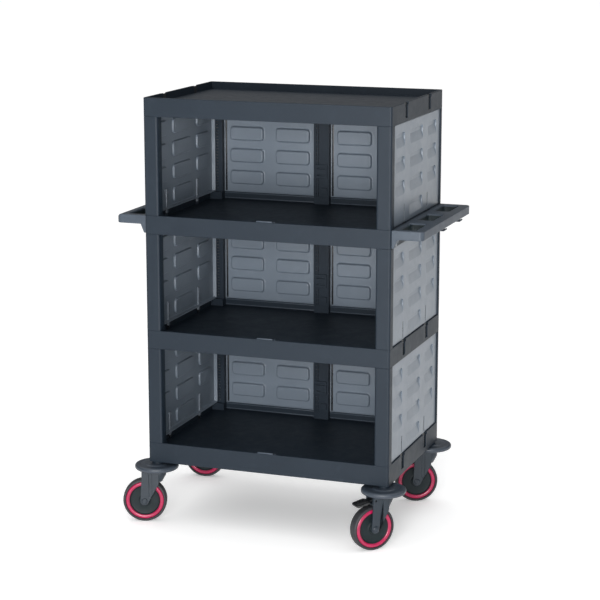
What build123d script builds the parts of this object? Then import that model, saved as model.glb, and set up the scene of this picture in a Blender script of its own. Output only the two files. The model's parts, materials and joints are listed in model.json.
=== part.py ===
# Three-tier service cart of moulded plastic parts on four swivel casters.
# X runs to the right, Y to the back and Z up; the origin is on the floor under the middle of the decks.
import os
from math import cos, radians, sin

from build123d import *

os.makedirs("parts", exist_ok=True)

# Decks, in millimetres
cart_width = 710.0  # left to right over the decks
cart_depth = 486.0  # front to back over the decks
tier_pitch = 325.0  # rim of one deck to rim of the next
deck_height = 52.0  # band of a shelf and of the top tray
base_height = 57.0  # band of the base deck, a little deeper
tray_depth = 21.0  # rim down to the floor of a deck
floor_thickness = 4.0
rim_wall = 7.0
rim_round = 1.5
corner_round = 6.0
rib_thickness = 3.0
rib_columns = 6  # pockets between the ribs below a floor, left to right
rib_rows = 5  # and front to back
cut_overrun = 2.0  # how far an open cut runs out past a face

# T-slots in the side bands, and the door catch on the front rims
slot_offset = 110.0  # either side of the middle, front to back
slot_width = 22.0
slot_foot = 10.0  # solid band below a T-slot
slot_head_width = 36.0
slot_head_depth = 8.0
slot_head_reach = 4.0  # of the blind head into the rim's wall
catch_width = 52.0
catch_depth = 4.0
catch_height = 3.0
catch_notch = 8.0

# Posts
front_post_width = 42.0
front_post_depth = 32.0
rear_post_width = 44.0
rear_post_depth = 24.0
rear_leg_depth = 13.0  # the thin outer leg behind a side panel
centre_post_width = 46.0
post_wall = 5.0
peg_height = 18.0  # deck pegs that plug into the hollow posts
peg_clearance = 0.2
groove_depth = 3.0
rear_groove_width = 8.0
rear_groove_margin = 3.0  # from the side panel's notch
centre_groove_width = 3.0
centre_groove_margin = 6.0  # post's left edge to the first groove
centre_groove_pitch = 7.0
keeper_rise = 4.0
keeper_margin = 5.0  # either side of the keeper
keeper_height = 40.0
keeper_foot = 56.0  # rim up to the keeper's lower edge
keeper_slot = 5.0
stop_width = 18.0
stop_height = 18.0
stop_foot = 10.0

# Panels: pans with a turned-in flange and embossed pads
panel_sheet = 2.5
panel_depth = 16.0
panel_gap = 0.5
side_inset = 4.0  # outer face of a side panel, in from the deck's side
back_inset = 1.5  # outer face of a back panel, in from the deck's back
pad_rise = 5.0
pad_taper = 20.0  # degrees
pad_round = 12.0
pad_rows = 4
pad_row_gap = 20.5
side_pad_foot = 10.0  # panel's lower edge to the lowest row
side_pad_head = 23.0  # highest row to the panel's upper edge
side_pad_middle = 128.0  # width of the middle column
side_pad_gap = 43.0  # between the columns
side_pad_margin = 13.5  # panel's front edge to the front column
back_pad_foot = 22.5
back_pad_head = 10.5
back_pad_gap = 35.0
back_pad_margin = 17.0

# Clips behind the slits of the side panels
slit_width = 7.0
slit_height = 48.0
slit_foot = 3.0
clip_width = 12.0
clip_thickness = 4.0
clip_rise = 54.0
clip_reach = 14.0  # below the rim, inside the T-slot
clip_tooth = 6.0
clip_tooth_reach = 4.5
clip_clearance = 1.0  # round the clip in the panel's lower flange

# Handles
handle_level = 2  # the upper shelf carries them
handle_reach = 88.0
handle_end_gap = 5.0  # deck's end to the handle's end
handle_thickness = 25.0
handle_drop = 1.0  # rim down to the handle's top
handle_corner = 14.0
handle_top_round = 14.0
handle_bottom_round = 4.0
grip_width = 27.0  # bar outside the finger openings
finger_inset = 15.0  # deck's side to the finger openings
finger_openings = 3
finger_bar = 52.0  # between two openings
finger_end_bar = 20.0  # at the handle's ends
finger_round = 9.0
finger_edge_round = 3.0
leg_foot_gap = 2.0  # foot of a handle's leg to the deck's underside
leg_thickness = 16.0  # where a leg leaves the handle
leg_foot_thickness = 6.0
leg_length = 26.0
tongue_height = 12.0  # of the tongue in a T-slot
tongue_clearance = 0.3
hook_width = 30.0
hook_drop = 10.0
hook_wall = 3.0
hook_gap = 7.0
hook_lip = 5.0
hook_inset = 6.0  # handle's outer edge to the hook's lip
screw_radius = 3.0
screw_clearance = 0.2
screw_head_radius = 5.5
screw_head_height = 3.5
screw_head_gap = 0.3  # around a head in its recess
screw_grip = 26.0
screw_rise = 9.0  # foot of the leg up to the screw

# Casters
wheel_diameter = 125.0
wheel_width = 30.0
trail = 38.0
caster_crown = 33.0  # wheel's top to the underside of a bumper disc
swivel_inset_x = 18.0
swivel_inset_y = 22.0
swivel_clearance = 0.3
running_clearance = 0.05
bumper_diameter = 124.0
bumper_thickness = 14.0
bumper_round = 6.0
bumper_shift = 8.0  # disc's middle past the swivel axis, to the front or the back
stem_boss_radius = 17.0  # round foot of the base deck on a disc
stem_boss_height = 7.0
stem_radius = 6.0
stem_cap = 3.0  # solid above a stem in the base deck
stem_depth = 26.0  # turning in the fork
stem_collar_radius = 14.0
stem_collar_height = 4.0
stem_clearance = 0.1
stem_block = 24.0  # solid around a stem in the base deck

wheel_side_gap = 2.5  # tyre to a fork leg
fork_leg_thickness = 5.5
fork_head_front = 23.0
fork_head_back = 46.0
fork_nose_height = 20.0  # upright part of the nose
fork_nose_drop = 40.0
fork_nose_cut = 11.0
fork_nose_round = 20.0
fork_chin_round = 14.0  # where the nose turns in
fork_back_round = 5.0
fork_leg_width = 47.0
fork_leg_front = 3.0  # leg's front edge past the swivel axis
fork_shoulder = 45.0  # head's top down to where the legs narrow
fork_boss_radius = 12.0
fork_groove_width = 9.0
fork_groove_depth = 1.5
guard_clearance = 4.0  # tyre to the mudguard

axle_radius = 5.0
axle_head_radius = 9.0
axle_head_height = 3.0
tyre_depth = 7.5
tyre_round = 5.0
tyre_seat = 0.1
hub_web_width = 16.0
hub_boss_radius = 14.0
hub_side_gap = 1.0  # hub's boss to a fork leg
ring_width = 8.8
ring_thickness = 2.0
ring_edge_gap = 0.6  # edge of the hub's rim to a ring
ring_shelf = 1.1  # ring to the dished part of the hub
ring_recess = 1.0  # ring's face to the tyre's side

# Brake pedals
pedal_pivot_drop = 14.5  # head's top down to the pivot, which is above the axle
pedal_barrel_radius = 6.0
pedal_barrel_width = 28.0
pedal_slot_clearance = 1.0
pedal_slot_floor = 10.5  # pivot down to the floor of its slot
pedal_tilt = 12.0  # degrees that the tread plate slopes down at rest
pedal_trunnion_radius = 3.0
pedal_trunnion_length = 6.0
pedal_arm_width = 20.0
pedal_thickness = 6.0
pedal_plate_start = 14.0  # pivot back to the tread plate
pedal_plate_length = 42.0
pedal_plate_width = 40.0
pedal_plate_round = 9.0
pedal_shoe_back = 22.0  # pivot back to the shoe's middle
pedal_shoe_length = 10.0
pedal_shoe_width = 18.0
pedal_shoe_gap = 3.2  # level of the wheel's top up to the shoe

# Rest angle of each caster, turned about Z
casters = {
    "front_left": (-1, -1, 18.0),
    "front_right": (1, -1, 47.0),
    "rear_left": (-1, 1, 5.0),
    "rear_right": (1, 1, 25.0),
}
braked_casters = ("front_right", "rear_left")
deck_names = ("base_deck", "lower_shelf", "upper_shelf", "top_tray")
tier_names = ("lower", "middle", "upper")
side_names = {-1: "left", 1: "right"}

# Places worked out from the sizes above
top_level = len(deck_names) - 1
half_width = cart_width / 2
half_depth = cart_depth / 2
caster_height = wheel_diameter + caster_crown
base_bottom = caster_height + bumper_thickness + stem_boss_height
slot_depth = deck_height - slot_foot
post_length = tier_pitch - deck_height
panel_height = post_length - panel_gap
panel_notch = side_inset + panel_depth + panel_gap
corner_block_x = max(front_post_width, rear_post_width)
corner_block_y = max(front_post_depth, rear_post_depth)
swivel_x = half_width - swivel_inset_x
swivel_y = half_depth - swivel_inset_y
axle_height = wheel_diameter / 2
stem_grip = base_height - tray_depth - stem_cap
fork_top = caster_height - swivel_clearance
fork_gap = wheel_width + 2 * wheel_side_gap
fork_width = fork_gap + 2 * fork_leg_thickness
hub_rim_radius = wheel_diameter / 2 - tyre_depth - tyre_seat
hub_rim_width = wheel_width - 2 * (ring_recess + ring_thickness)
ring_outer = hub_rim_radius - ring_edge_gap
ring_inner = ring_outer - ring_width
pedal_pivot = (-trail, fork_top - pedal_pivot_drop)
handle_length = cart_depth - 2 * handle_end_gap
handle_plate_drop = handle_drop + handle_thickness
finger_width = handle_reach - finger_inset - grip_width
finger_span = handle_length - 2 * finger_end_bar + finger_bar
finger_spacing = finger_span / finger_openings
finger_length = finger_spacing - finger_bar
leg_drop = deck_height - leg_foot_gap
leg_middle = handle_length / 2 - leg_length / 2

# Hollow core of each post: middle and size in plan
front_core_x = half_width - front_post_width / 2
front_core_y = half_depth - front_post_depth / 2
rear_block_width = rear_post_width - panel_notch
rear_core_x = half_width - panel_notch - rear_block_width / 2
rear_core_y = half_depth - rear_post_depth / 2
front_core = (front_post_width - 2 * post_wall, front_post_depth - 2 * post_wall)
rear_core = (rear_block_width - 2 * post_wall, rear_post_depth - 2 * post_wall)
centre_core = (centre_post_width - 2 * post_wall, rear_post_depth - 2 * post_wall)
post_cores = (
    (-front_core_x, -front_core_y, *front_core),
    (front_core_x, -front_core_y, *front_core),
    (-rear_core_x, rear_core_y, *rear_core),
    (rear_core_x, rear_core_y, *rear_core),
    (0.0, rear_core_y, *centre_core),
)


def rim_level(level):
    return base_bottom + base_height + level * tier_pitch


def side_face(side, inset=0.0):
    # Sketch plane on the left or right side, looking in, with its y upwards
    return Plane(origin=(side * (half_width - inset), 0, 0), x_dir=(0, -side, 0), z_dir=(-side, 0, 0))


def back_face(inset=0.0):
    # Sketch plane on the back, looking forwards, with its y upwards
    return Plane(origin=(0, half_depth - inset, 0), x_dir=(1, 0, 0), z_dir=(0, -1, 0))


def swivel_point(caster):
    side, end, angle = casters[caster]
    return (side * swivel_x, end * swivel_y)


def disc_point(caster):
    side, end, angle = casters[caster]
    return (side * swivel_x, end * (swivel_y + bumper_shift))


def caster_side(caster, offset=0.0):
    # Upright plane through a caster's swivel axis along its wheel, with its x forwards
    side, end, angle = casters[caster]
    forward = Vector(cos(radians(angle)), sin(radians(angle)), 0)
    across = Vector(-sin(radians(angle)), cos(radians(angle)), 0)
    origin = Vector(*swivel_point(caster), 0) + across * offset
    return Plane(origin=origin, x_dir=forward, z_dir=-across)


def wheel_section(caster):
    # Plane that holds a wheel's axle as its y axis, with its x up from the axle
    upright = caster_side(caster)
    middle = upright.from_local_coords((-trail, axle_height, 0))
    return Plane(origin=middle, x_dir=(0, 0, 1), z_dir=upright.x_dir)


def save(piece, name):
    piece.part.label = name
    export_step(piece.part, f"parts/{name}.step")


# Decks


def make_deck(level):
    rim = rim_level(level)
    height = base_height if level == 0 else deck_height
    bottom = rim - height
    inner_width = cart_width - 2 * rim_wall
    inner_depth = cart_depth - 2 * rim_wall
    pocket_pitch_x = (inner_width + rib_thickness) / rib_columns
    pocket_pitch_y = (inner_depth + rib_thickness) / rib_rows
    stem_holder = level == 0
    below_x = swivel_inset_x + stem_block if stem_holder else corner_block_x
    below_y = swivel_inset_y + stem_block if stem_holder else corner_block_y
    post_blocks = [
        (x * (half_width - corner_block_x / 2), y * (half_depth - corner_block_y / 2))
        for x in (-1, 1)
        for y in (-1, 1)
    ]
    lower_blocks = [
        (x * (half_width - below_x / 2), y * (half_depth - below_y / 2)) for x in (-1, 1) for y in (-1, 1)
    ]
    with BuildPart() as deck:
        with BuildSketch(Plane.XY.offset(bottom)):
            RectangleRounded(cart_width, cart_depth, corner_round)
        extrude(amount=height)
        fillet(deck.edges().group_by(Axis.Z)[-1] + deck.edges().group_by(Axis.Z)[0], rim_round)
        # Tray recess, around the blocks that carry the posts
        with BuildSketch(Plane.XY.offset(rim)):
            Rectangle(inner_width, inner_depth)
            if level < top_level:
                with Locations(post_blocks):
                    Rectangle(corner_block_x, corner_block_y, mode=Mode.SUBTRACT)
                with Locations((0, rear_core_y)):
                    Rectangle(centre_post_width, rear_post_depth, mode=Mode.SUBTRACT)
        extrude(amount=-tray_depth, mode=Mode.SUBTRACT)
        # Pockets between the ribs under the floor
        with BuildSketch(Plane.XY.offset(bottom)):
            with GridLocations(pocket_pitch_x, pocket_pitch_y, rib_columns, rib_rows):
                Rectangle(pocket_pitch_x - rib_thickness, pocket_pitch_y - rib_thickness)
            with Locations(lower_blocks):
                Rectangle(below_x, below_y, mode=Mode.SUBTRACT)
            with Locations((0, rear_core_y)):
                Rectangle(centre_post_width, rear_post_depth, mode=Mode.SUBTRACT)
        extrude(amount=height - tray_depth - floor_thickness, mode=Mode.SUBTRACT)
        # T-slots, open at the rim; their heads stay blind
        for side in (-1, 1):
            with BuildSketch(side_face(side)):
                with Locations((-slot_offset, rim - slot_depth), (slot_offset, rim - slot_depth)):
                    Rectangle(slot_width, slot_depth + cut_overrun, align=(Align.CENTER, Align.MIN))
            extrude(amount=rim_wall + cut_overrun, mode=Mode.SUBTRACT)
            with BuildSketch(side_face(side)):
                with Locations((-slot_offset, rim - slot_head_depth), (slot_offset, rim - slot_head_depth)):
                    Rectangle(slot_head_width, slot_head_depth + cut_overrun, align=(Align.CENTER, Align.MIN))
            extrude(amount=slot_head_reach, mode=Mode.SUBTRACT)
        if level < top_level:
            # Door catch on the front rim, and the pegs of the posts above
            catch_y = -half_depth + rim_round + catch_depth / 2
            with BuildSketch(Plane.XY.offset(rim)):
                with Locations((0, catch_y)):
                    Rectangle(catch_width, catch_depth)
            extrude(amount=catch_height)
            with BuildSketch(Plane.XY.offset(rim + catch_height)):
                with Locations(((catch_width - catch_notch) / 2, catch_y)):
                    Rectangle(catch_notch / 2, catch_depth)
            extrude(amount=-2 * catch_height, mode=Mode.SUBTRACT)
            with BuildSketch(Plane.XY.offset(rim)):
                for x, y, width, depth in post_cores:
                    with Locations((x, y)):
                        Rectangle(width - 2 * peg_clearance, depth - 2 * peg_clearance)
            extrude(amount=peg_height)
        if level > 0:
            with BuildSketch(Plane.XY.offset(bottom)):
                for x, y, width, depth in post_cores:
                    with Locations((x, y)):
                        Rectangle(width - 2 * peg_clearance, depth - 2 * peg_clearance)
            extrude(amount=-peg_height)
        if stem_holder:
            # Round feet on the bumper discs, and the stems' holes
            with BuildSketch(Plane.XY.offset(bottom)):
                with Locations([swivel_point(caster) for caster in casters]):
                    Circle(stem_boss_radius)
            extrude(amount=-stem_boss_height)
            with BuildSketch(Plane.XY.offset(bottom - stem_boss_height)):
                with Locations([swivel_point(caster) for caster in casters]):
                    Circle(stem_radius + stem_clearance)
            extrude(amount=stem_boss_height + stem_grip, mode=Mode.SUBTRACT)
        if level == handle_level:
            screw_level = rim - leg_drop + screw_rise
            for side in (-1, 1):
                with BuildSketch(side_face(side)):
                    with Locations((-leg_middle, screw_level), (leg_middle, screw_level)):
                        Circle(screw_radius + screw_clearance)
                extrude(amount=screw_grip + screw_clearance, mode=Mode.SUBTRACT)
    save(deck, deck_names[level])


for level in range(len(deck_names)):
    make_deck(level)


# Posts


def make_front_post(side, tier):
    with BuildPart() as post:
        with BuildSketch(Plane.XY.offset(rim_level(tier))):
            with Locations((side * front_core_x, -front_core_y)):
                RectangleRounded(front_post_width, front_post_depth, corner_round)
                Rectangle(*front_core, mode=Mode.SUBTRACT)
        extrude(amount=post_length)
    save(post, f"front_post_{side_names[side]}_{tier_names[tier]}")


def make_rear_post(side, tier):
    outer = side * half_width
    notch = side * (half_width - panel_notch)
    inner = side * (half_width - rear_post_width)
    leg_face = half_depth - rear_leg_depth
    block_face = half_depth - rear_post_depth
    groove_x = side * (half_width - panel_notch - rear_groove_margin - rear_groove_width / 2)
    with BuildPart() as post:
        with BuildSketch(Plane.XY.offset(rim_level(tier))) as plan:
            with BuildLine():
                Polyline(
                    (outer, half_depth),
                    (outer, leg_face),
                    (notch, leg_face),
                    (notch, block_face),
                    (inner, block_face),
                    (inner, half_depth),
                    close=True,
                )
            make_face()
            outer_corner = plan.vertices().group_by(Axis.Y)[-1].sort_by(Axis.X)[-1 if side > 0 else 0]
            fillet(outer_corner, corner_round)
            with Locations((side * rear_core_x, rear_core_y)):
                Rectangle(*rear_core, mode=Mode.SUBTRACT)
            with Locations((groove_x, block_face)):
                Rectangle(rear_groove_width, 2 * groove_depth, mode=Mode.SUBTRACT)
        extrude(amount=post_length)
    save(post, f"rear_post_{side_names[side]}_{tier_names[tier]}")


def make_centre_post(tier):
    rim = rim_level(tier)
    face = back_face(rear_post_depth)
    first_groove = centre_groove_margin + centre_groove_width / 2 - centre_post_width / 2
    keeper_width = centre_post_width - 2 * keeper_margin
    stop_x = centre_post_width / 2 - keeper_margin - stop_width / 2
    with BuildPart() as post:
        with BuildSketch(Plane.XY.offset(rim)):
            with Locations((0, rear_core_y)):
                Rectangle(centre_post_width, rear_post_depth)
                Rectangle(*centre_core, mode=Mode.SUBTRACT)
            for groove_x in (first_groove, first_groove + centre_groove_pitch):
                with Locations((groove_x, half_depth - rear_post_depth)):
                    Rectangle(centre_groove_width, 2 * groove_depth, mode=Mode.SUBTRACT)
        extrude(amount=post_length)
        # Keeper with two slots, and a stop below it
        with BuildSketch(face):
            with Locations((0, rim + keeper_foot + keeper_height / 2)):
                Rectangle(keeper_width, keeper_height)
                with GridLocations(keeper_width / 2, keeper_height / 2, 1, 2):
                    Rectangle(keeper_width - 2 * keeper_slot, keeper_slot, mode=Mode.SUBTRACT)
            with Locations((stop_x, rim + stop_foot + stop_height / 2)):
                Rectangle(stop_width, stop_height)
        extrude(amount=keeper_rise)
    save(post, f"centre_post_{tier_names[tier]}")


for tier in range(top_level):
    for side in (-1, 1):
        make_front_post(side, tier)
        make_rear_post(side, tier)
    make_centre_post(tier)


# Panels


def pad_rows_above(foot, head):
    # Height of an embossed pad, and the level of each row's lower edge above the panel's
    height = (panel_height - foot - head - (pad_rows - 1) * pad_row_gap) / pad_rows
    return height, [foot + row * (height + pad_row_gap) for row in range(pad_rows)]


def make_pan(outer_face, middle, width, rim, pad_height, pads, slits=()):
    # outer_face looks inwards; pads are (middle, foot, width) of each embossed pad on it
    base = rim + panel_height / 2
    with BuildPart() as pan:
        with BuildSketch(outer_face):
            with Locations((middle, base)):
                Rectangle(width, panel_height)
        extrude(amount=panel_depth)
        with BuildSketch(outer_face.offset(panel_sheet)):
            with Locations((middle, base)):
                Rectangle(width - 2 * panel_sheet, panel_height - 2 * panel_sheet)
        extrude(amount=panel_depth - panel_sheet, mode=Mode.SUBTRACT)
        with BuildSketch(outer_face.offset(panel_sheet)):
            for place, foot, pad_width in pads:
                with Locations((place, rim + foot + pad_height / 2)):
                    RectangleRounded(pad_width, pad_height, pad_round)
        extrude(amount=pad_rise, taper=pad_taper)
        with BuildSketch(outer_face):
            for place, foot, pad_width in pads:
                with Locations((place, rim + foot + pad_height / 2)):
                    RectangleRounded(
                        pad_width - 2 * panel_sheet, pad_height - 2 * panel_sheet, pad_round - panel_sheet
                    )
        extrude(amount=pad_rise, taper=pad_taper, mode=Mode.SUBTRACT)
        if slits:
            # Slits in the sheet, and gaps in the lower flange for the clips
            with BuildSketch(outer_face):
                with Locations([(place, rim + slit_foot + slit_height / 2) for place in slits]):
                    Rectangle(slit_width, slit_height)
            extrude(amount=panel_sheet, mode=Mode.SUBTRACT)
            with BuildSketch(outer_face.offset(panel_sheet)):
                with Locations([(place, rim) for place in slits]):
                    Rectangle(clip_width + 2 * clip_clearance, 2 * (panel_sheet + cut_overrun))
            extrude(amount=clip_thickness + clip_clearance, mode=Mode.SUBTRACT)
    return pan


def make_side_panel(side, tier):
    front = -half_depth + front_post_depth + panel_gap
    back = half_depth - rear_leg_depth - panel_gap
    outer_start = side_pad_middle / 2 + side_pad_gap
    outer_end = -front - side_pad_margin
    pad_height, rows = pad_rows_above(side_pad_foot, side_pad_head)
    pads = [(0.0, foot, side_pad_middle) for foot in rows]
    for end in (-1, 1):
        # The lowest row has only its middle pad, clear of the slits
        pads += [(end * (outer_start + outer_end) / 2, foot, outer_end - outer_start) for foot in rows[1:]]
    panel = make_pan(
        side_face(side, side_inset),
        -side * (front + back) / 2,
        back - front,
        rim_level(tier),
        pad_height,
        pads,
        (-slot_offset, slot_offset),
    )
    save(panel, f"side_panel_{side_names[side]}_{tier_names[tier]}")


def make_back_panel(side, tier):
    near = centre_post_width / 2 + panel_gap
    far = half_width - rear_post_width - panel_gap
    middle = side * (near + far) / 2
    pad_width = (far - near - 2 * back_pad_margin - back_pad_gap) / 2
    pad_shift = (pad_width + back_pad_gap) / 2
    pad_height, rows = pad_rows_above(back_pad_foot, back_pad_head)
    pads = [(middle + column * pad_shift, foot, pad_width) for column in (-1, 1) for foot in rows]
    panel = make_pan(back_face(back_inset), middle, far - near, rim_level(tier), pad_height, pads)
    save(panel, f"back_panel_{side_names[side]}_{tier_names[tier]}")


for tier in range(top_level):
    for side in (-1, 1):
        make_side_panel(side, tier)
        make_back_panel(side, tier)

# Clips that hold the side panels down: a bar inside the sheet with a tooth in the T-slot
with BuildPart() as panel_clips:
    for tier in range(top_level):
        rim = rim_level(tier)
        for side in (-1, 1):
            sheet_face = side * (half_width - side_inset - panel_sheet)
            tooth_face = sheet_face + side * clip_tooth_reach
            inner_face = sheet_face - side * clip_thickness
            for end in (-1, 1):
                with BuildSketch(Plane.XZ.offset(-end * slot_offset)):
                    with BuildLine():
                        Polyline(
                            (sheet_face, rim + clip_rise),
                            (sheet_face, rim - clip_reach + clip_tooth),
                            (tooth_face, rim - clip_reach + clip_tooth),
                            (sheet_face, rim - clip_reach),
                            (inner_face, rim - clip_reach),
                            (inner_face, rim + clip_rise),
                            close=True,
                        )
                    make_face()
                extrude(amount=clip_width / 2, both=True)
save(panel_clips, "panel_clips")


# Handles


def make_handle(side):
    rim = rim_level(handle_level)
    top = rim - handle_drop
    under = rim - handle_plate_drop
    inner = side * half_width
    middle = side * (half_width + handle_reach / 2)
    finger_middle = side * (half_width + finger_inset + finger_width / 2)
    outer = half_width + handle_reach
    with BuildPart() as handle:
        with BuildSketch(Plane.XZ) as profile:
            with Locations((middle, (top + under) / 2)):
                Rectangle(handle_reach, handle_thickness)
            grip_corners = profile.vertices().group_by(Axis.X)[-1 if side > 0 else 0]
            fillet(grip_corners.sort_by(Axis.Y)[0], handle_bottom_round)
            grip_corners = profile.vertices().group_by(Axis.X)[-1 if side > 0 else 0]
            fillet(grip_corners.sort_by(Axis.Y)[-1], handle_top_round)
        extrude(amount=handle_length / 2, both=True)
        with BuildSketch(Plane.XY.offset(under)) as plan:
            with Locations((middle, 0)):
                Rectangle(handle_reach, handle_length)
            fillet(plan.vertices().group_by(Axis.X)[-1 if side > 0 else 0], handle_corner)
        extrude(amount=handle_thickness, mode=Mode.INTERSECT)
        # Finger openings behind the grip
        with BuildSketch(Plane.XY.offset(top)):
            with Locations((finger_middle, 0)):
                with GridLocations(finger_width, finger_spacing, 1, finger_openings):
                    RectangleRounded(finger_width, finger_length, finger_round)
        extrude(amount=-handle_thickness, mode=Mode.SUBTRACT)
        opening_edges = handle.edges().filter_by(
            lambda edge: abs(edge.center().X - finger_middle) < finger_width / 2 + finger_edge_round / 2
            and abs(edge.center().Y) < handle_length / 2 - finger_end_bar / 2
        )
        fillet(opening_edges.group_by(Axis.Z)[-1], finger_edge_round)
        # Legs screwed to the band, and tongues in the T-slots
        for end in (-1, 1):
            with BuildSketch(Plane.XZ.offset(-end * leg_middle)):
                with BuildLine():
                    Polyline(
                        (inner, under),
                        (inner + side * leg_thickness, under),
                        (inner + side * leg_foot_thickness, rim - leg_drop),
                        (inner, rim - leg_drop),
                        close=True,
                    )
                make_face()
            extrude(amount=leg_length / 2, both=True)
        with BuildSketch(side_face(side, -leg_foot_thickness)):
            with Locations([(end * leg_middle, rim - leg_drop + screw_rise) for end in (-1, 1)]):
                Circle(screw_head_radius + screw_head_gap)
        extrude(amount=-leg_thickness, mode=Mode.SUBTRACT)
        with BuildSketch(side_face(side)):
            with Locations([(end * leg_middle, rim - leg_drop + screw_rise) for end in (-1, 1)]):
                Circle(screw_radius + screw_clearance)
        extrude(amount=-leg_thickness, mode=Mode.SUBTRACT)
        with BuildSketch(side_face(side)):
            with Locations([(end * slot_offset, under + tongue_height / 2) for end in (-1, 1)]):
                Rectangle(slot_width - 2 * tongue_clearance, tongue_height)
        extrude(amount=rim_wall - tongue_clearance)
        # Bag hooks under the grip
        lip = side * (outer - hook_inset)
        gap = lip - side * hook_wall
        heel = gap - side * hook_gap
        root = heel - side * hook_wall
        for place in (0, finger_spacing):
            with BuildSketch(Plane.XZ.offset(-place)):
                with BuildLine():
                    Polyline(
                        (root, under),
                        (root, under - hook_drop),
                        (lip, under - hook_drop),
                        (lip, under - hook_drop + hook_lip),
                        (gap, under - hook_drop + hook_lip),
                        (gap, under - hook_drop + hook_wall),
                        (heel, under - hook_drop + hook_wall),
                        (heel, under),
                        close=True,
                    )
                make_face()
            extrude(amount=hook_width / 2, both=True)
    save(handle, f"{side_names[side]}_handle")


for side in (-1, 1):
    make_handle(side)

with BuildPart() as handle_screws:
    screw_level = rim_level(handle_level) - leg_drop + screw_rise
    for side in (-1, 1):
        leg_face = side_face(side, -leg_foot_thickness)
        for end in (-1, 1):
            with BuildSketch(leg_face):
                with Locations((end * leg_middle, screw_level)):
                    Circle(screw_head_radius)
            extrude(amount=-screw_head_height)
            with BuildSketch(leg_face):
                with Locations((end * leg_middle, screw_level)):
                    Circle(screw_radius)
            extrude(amount=leg_foot_thickness + screw_grip)
save(handle_screws, "handle_screws")

# Casters: what stays with the base deck
with BuildPart() as caster_stems:
    for caster in casters:
        with Locations((*swivel_point(caster), caster_height - stem_depth)):
            Cylinder(
                stem_radius,
                stem_depth + bumper_thickness + stem_boss_height + stem_grip,
                align=(Align.CENTER, Align.CENTER, Align.MIN),
            )
        with Locations((*swivel_point(caster), caster_height)):
            Cylinder(
                stem_collar_radius, stem_collar_height, align=(Align.CENTER, Align.CENTER, Align.MIN)
            )
save(caster_stems, "caster_stems")

with BuildPart() as corner_bumpers:
    with BuildSketch(Plane.XY.offset(caster_height)):
        with Locations([disc_point(caster) for caster in casters]):
            Circle(bumper_diameter / 2)
    extrude(amount=bumper_thickness)
    fillet(corner_bumpers.edges(), bumper_round)
    with BuildSketch(Plane.XY.offset(caster_height)):
        with Locations([swivel_point(caster) for caster in casters]):
            Circle(stem_radius + stem_clearance)
    extrude(amount=bumper_thickness, mode=Mode.SUBTRACT)
    with BuildSketch(Plane.XY.offset(caster_height)):
        with Locations([swivel_point(caster) for caster in casters]):
            Circle(stem_collar_radius + stem_clearance)
    extrude(amount=stem_collar_height, mode=Mode.SUBTRACT)
save(corner_bumpers, "corner_bumpers")


# Casters: what swivels


def make_fork(caster):
    upright = caster_side(caster)
    forward = Axis(upright.origin, upright.x_dir)
    with BuildPart() as fork:
        # Head with a nose that runs down over the wheel
        with BuildSketch(upright) as head:
            with BuildLine():
                Polyline(
                    (-fork_head_back, fork_top),
                    (fork_head_front, fork_top),
                    (fork_head_front, fork_top - fork_nose_height),
                    (fork_head_front - fork_nose_cut, fork_top - fork_nose_drop),
                    (-fork_head_back, fork_top - fork_nose_drop),
                    close=True,
                )
            make_face()
            fillet(head.vertices().group_by(Axis.X)[-1].sort_by(Axis.Y)[0], fork_chin_round)
        extrude(amount=fork_width / 2, both=True)
        fillet(fork.edges().filter_by(Axis.Z).group_by(forward)[0], fork_back_round)
        fillet(fork.edges().filter_by(Axis.Z).group_by(forward)[-1], fork_nose_round)
        # Legs down to the axle
        for across in (-1, 1):
            with BuildSketch(caster_side(caster, across * fork_gap / 2)):
                with Locations((-trail, axle_height)):
                    Circle(fork_boss_radius)
                with Locations((fork_leg_front - fork_leg_width / 2, fork_top - fork_shoulder / 2)):
                    Rectangle(fork_leg_width, fork_shoulder)
                make_hull()
            extrude(amount=-across * fork_leg_thickness)
            with BuildSketch(caster_side(caster, across * fork_width / 2)):
                with Locations((fork_leg_front - fork_leg_width / 2, (axle_height + fork_top) / 2)):
                    SlotOverall(fork_top - axle_height - 2 * fork_boss_radius, fork_groove_width, rotation=90)
            extrude(amount=across * fork_groove_depth, mode=Mode.SUBTRACT)
        # Room for the wheel, the axle and the stem
        with BuildSketch(upright):
            with Locations((-trail, axle_height)):
                Circle(wheel_diameter / 2 + guard_clearance)
        extrude(amount=fork_gap / 2, both=True, mode=Mode.SUBTRACT)
        with BuildSketch(upright):
            with Locations((-trail, axle_height)):
                Circle(axle_radius + running_clearance)
        extrude(amount=fork_width / 2, both=True, mode=Mode.SUBTRACT)
        with BuildSketch(Plane.XY.offset(fork_top)):
            with Locations(swivel_point(caster)):
                Circle(stem_radius + running_clearance)
        extrude(amount=-stem_depth, mode=Mode.SUBTRACT)
        if caster in braked_casters:
            slot_reach = pedal_barrel_radius + pedal_slot_clearance
            slot_rise = pedal_pivot_drop + pedal_slot_floor + cut_overrun
            with BuildSketch(upright):
                with Locations((pedal_pivot[0] + slot_reach, pedal_pivot[1] - pedal_slot_floor)):
                    Rectangle(fork_head_back, slot_rise, align=(Align.MAX, Align.MIN))
            extrude(amount=pedal_barrel_width / 2 + pedal_slot_clearance, both=True, mode=Mode.SUBTRACT)
            with BuildSketch(upright):
                with Locations(pedal_pivot):
                    Circle(pedal_trunnion_radius + running_clearance)
            extrude(amount=fork_width / 2, both=True, mode=Mode.SUBTRACT)
    save(fork, f"fork_{caster}")


def make_axle(caster):
    upright = caster_side(caster)
    with BuildPart() as axle:
        with BuildSketch(upright):
            with Locations((-trail, axle_height)):
                Circle(axle_radius)
        extrude(amount=fork_width / 2, both=True)
        for across in (-1, 1):
            with BuildSketch(caster_side(caster, across * fork_width / 2)):
                with Locations((-trail, axle_height)):
                    Circle(axle_head_radius)
            extrude(amount=-across * axle_head_height)
    save(axle, f"axle_{caster}")


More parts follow.
